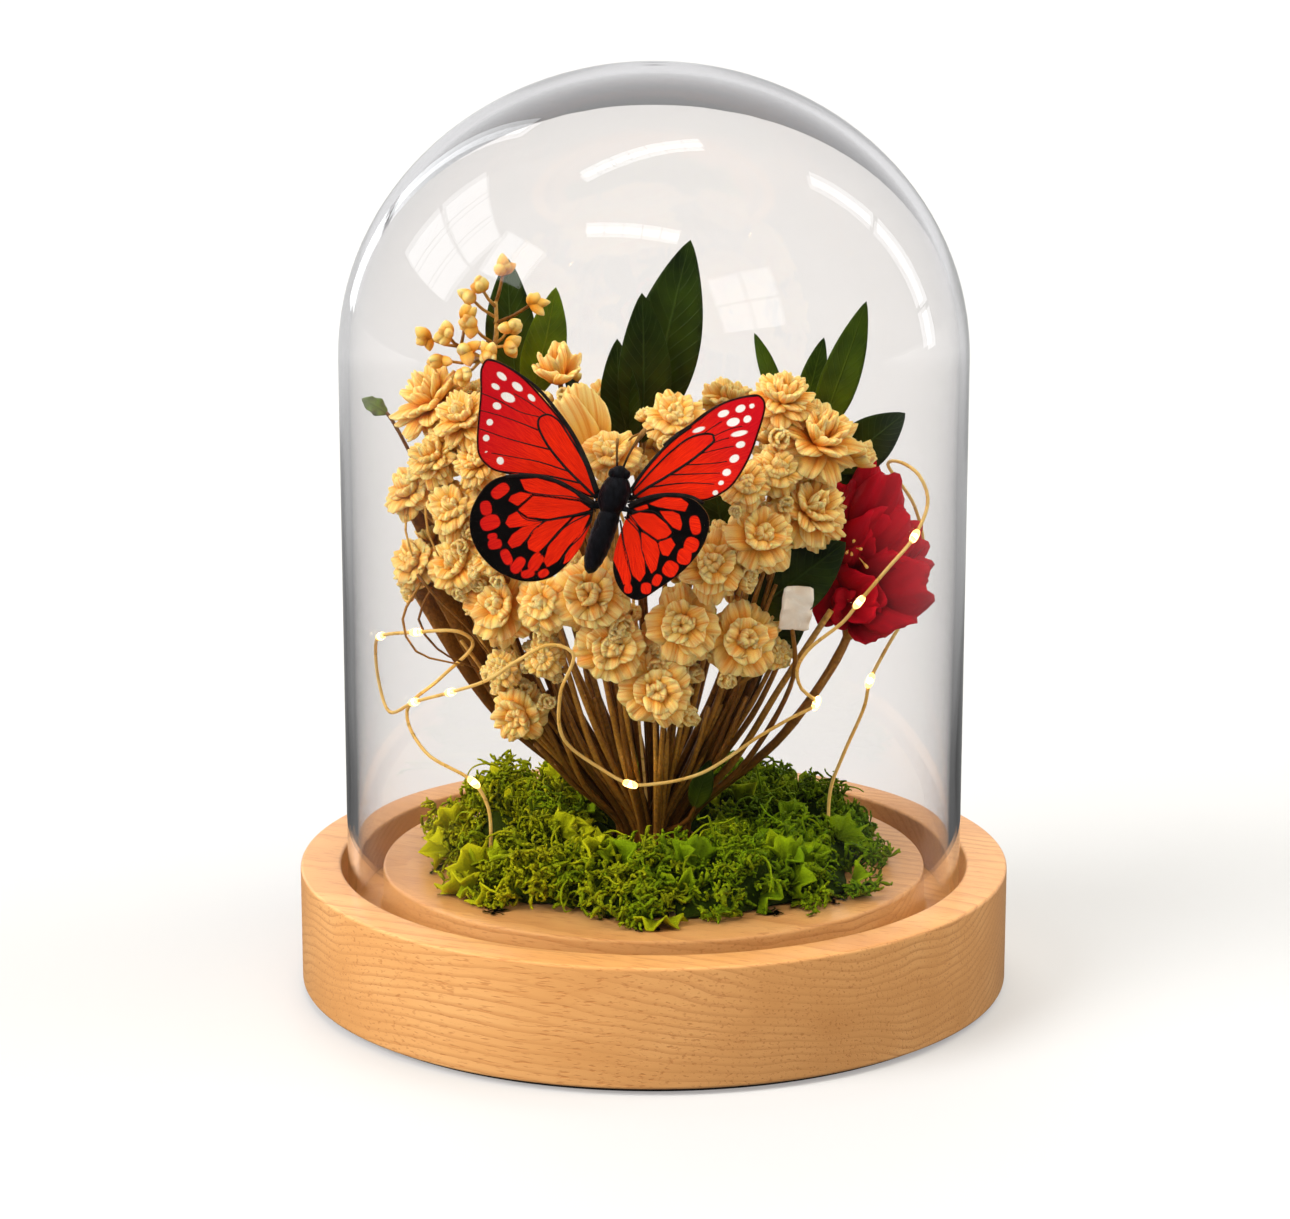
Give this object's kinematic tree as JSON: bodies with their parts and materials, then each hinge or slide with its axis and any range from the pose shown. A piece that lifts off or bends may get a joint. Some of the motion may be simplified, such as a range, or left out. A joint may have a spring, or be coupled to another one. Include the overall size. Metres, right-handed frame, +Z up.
{
  "type": "insect in glass dome",
  "caption": "Red butterfly mounted in front of a dried bouquet with moss and a string of small lights, under a lift-off glass dome on a turned wooden base.",
  "frame": {"origin": "middle of the underside, on the surface that the base stands on", "axes": "+Z up along the axis of the dome and base, -Y to the front, where the butterfly faces, +X to the viewer's right"},
  "size_m": [0.1384, 0.1384, 0.179],
  "materials": {
    "turned_wood": "pale turned wood, satin lacquer",
    "base_pad": "thin dark felt",
    "dome_glass": "clear blown glass, polished",
    "moss": "preserved curly moss, matt",
    "dried_blossom": "papery dried petals on a brown stem, matt",
    "dried_leaf": "dried dark green leaf, satin",
    "cream_bract": "papery cream bract, matt",
    "red_petal": "soft deep red petals, matt",
    "dried_stem": "thin dried stem, satin",
    "copper_wire": "fine bright copper-coloured wire",
    "binding_twine": "dark brown twine, matt",
    "butterfly_wing": "red scaled wing with black veins, satin",
    "butterfly_body": "short dark hair, soft sheen"
  },
  "bodies": {
    "root": {"wooden_base": "turned_wood", "base_pad": "base_pad", "glass_dome": "dome_glass", "moss_right_back": "moss", "moss_back": "moss", "moss_left_back": "moss", "moss_front_left": "moss", "moss_front_right": "moss", "sprig_01": "dried_blossom", "sprig_02": "dried_blossom", "sprig_03": "dried_blossom", "sprig_04": "dried_blossom", "sprig_05": "dried_blossom", "sprig_06": "dried_blossom", "sprig_07": "dried_blossom", "sprig_08": "dried_blossom", "sprig_09": "dried_blossom", "sprig_10": "dried_blossom", "sprig_11": "dried_blossom", "sprig_12": "dried_blossom", "sprig_13": "dried_blossom", "sprig_14": "dried_blossom", "sprig_15": "dried_blossom", "sprig_16": "dried_blossom", "sprig_17": "dried_blossom", "sprig_18": "dried_blossom", "sprig_19": "dried_blossom", "sprig_20": "dried_blossom", "sprig_21": "dried_blossom", "sprig_22": "dried_blossom", "sprig_23": "dried_blossom", "sprig_24": "dried_blossom", "sprig_25": "dried_blossom", "bud_spray": "dried_blossom", "leaf_sprig_centre": "dried_leaf", "leaf_beside_centre": "dried_leaf", "leaf_pair_left": "dried_leaf", "leaf_sprig_upper_right": "dried_leaf", "leaf_pair_right": "dried_leaf", "leaf_pair_low": "dried_leaf", "small_low_leaf": "dried_leaf", "leaf_scrap": "dried_leaf", "strap_leaf": "dried_leaf", "bract_right": "cream_bract", "bract_left": "cream_bract", "red_flower": "red_petal", "bare_stem": "dried_stem", "butterfly_wire": "copper_wire", "light_string": "copper_wire", "binding_cord": "binding_twine", "forewing_left": "butterfly_wing", "hindwing_left": "butterfly_wing", "forewing_right": "butterfly_wing", "hindwing_right": "butterfly_wing", "butterfly_body": "butterfly_body"}
  },
  "joints": []
}
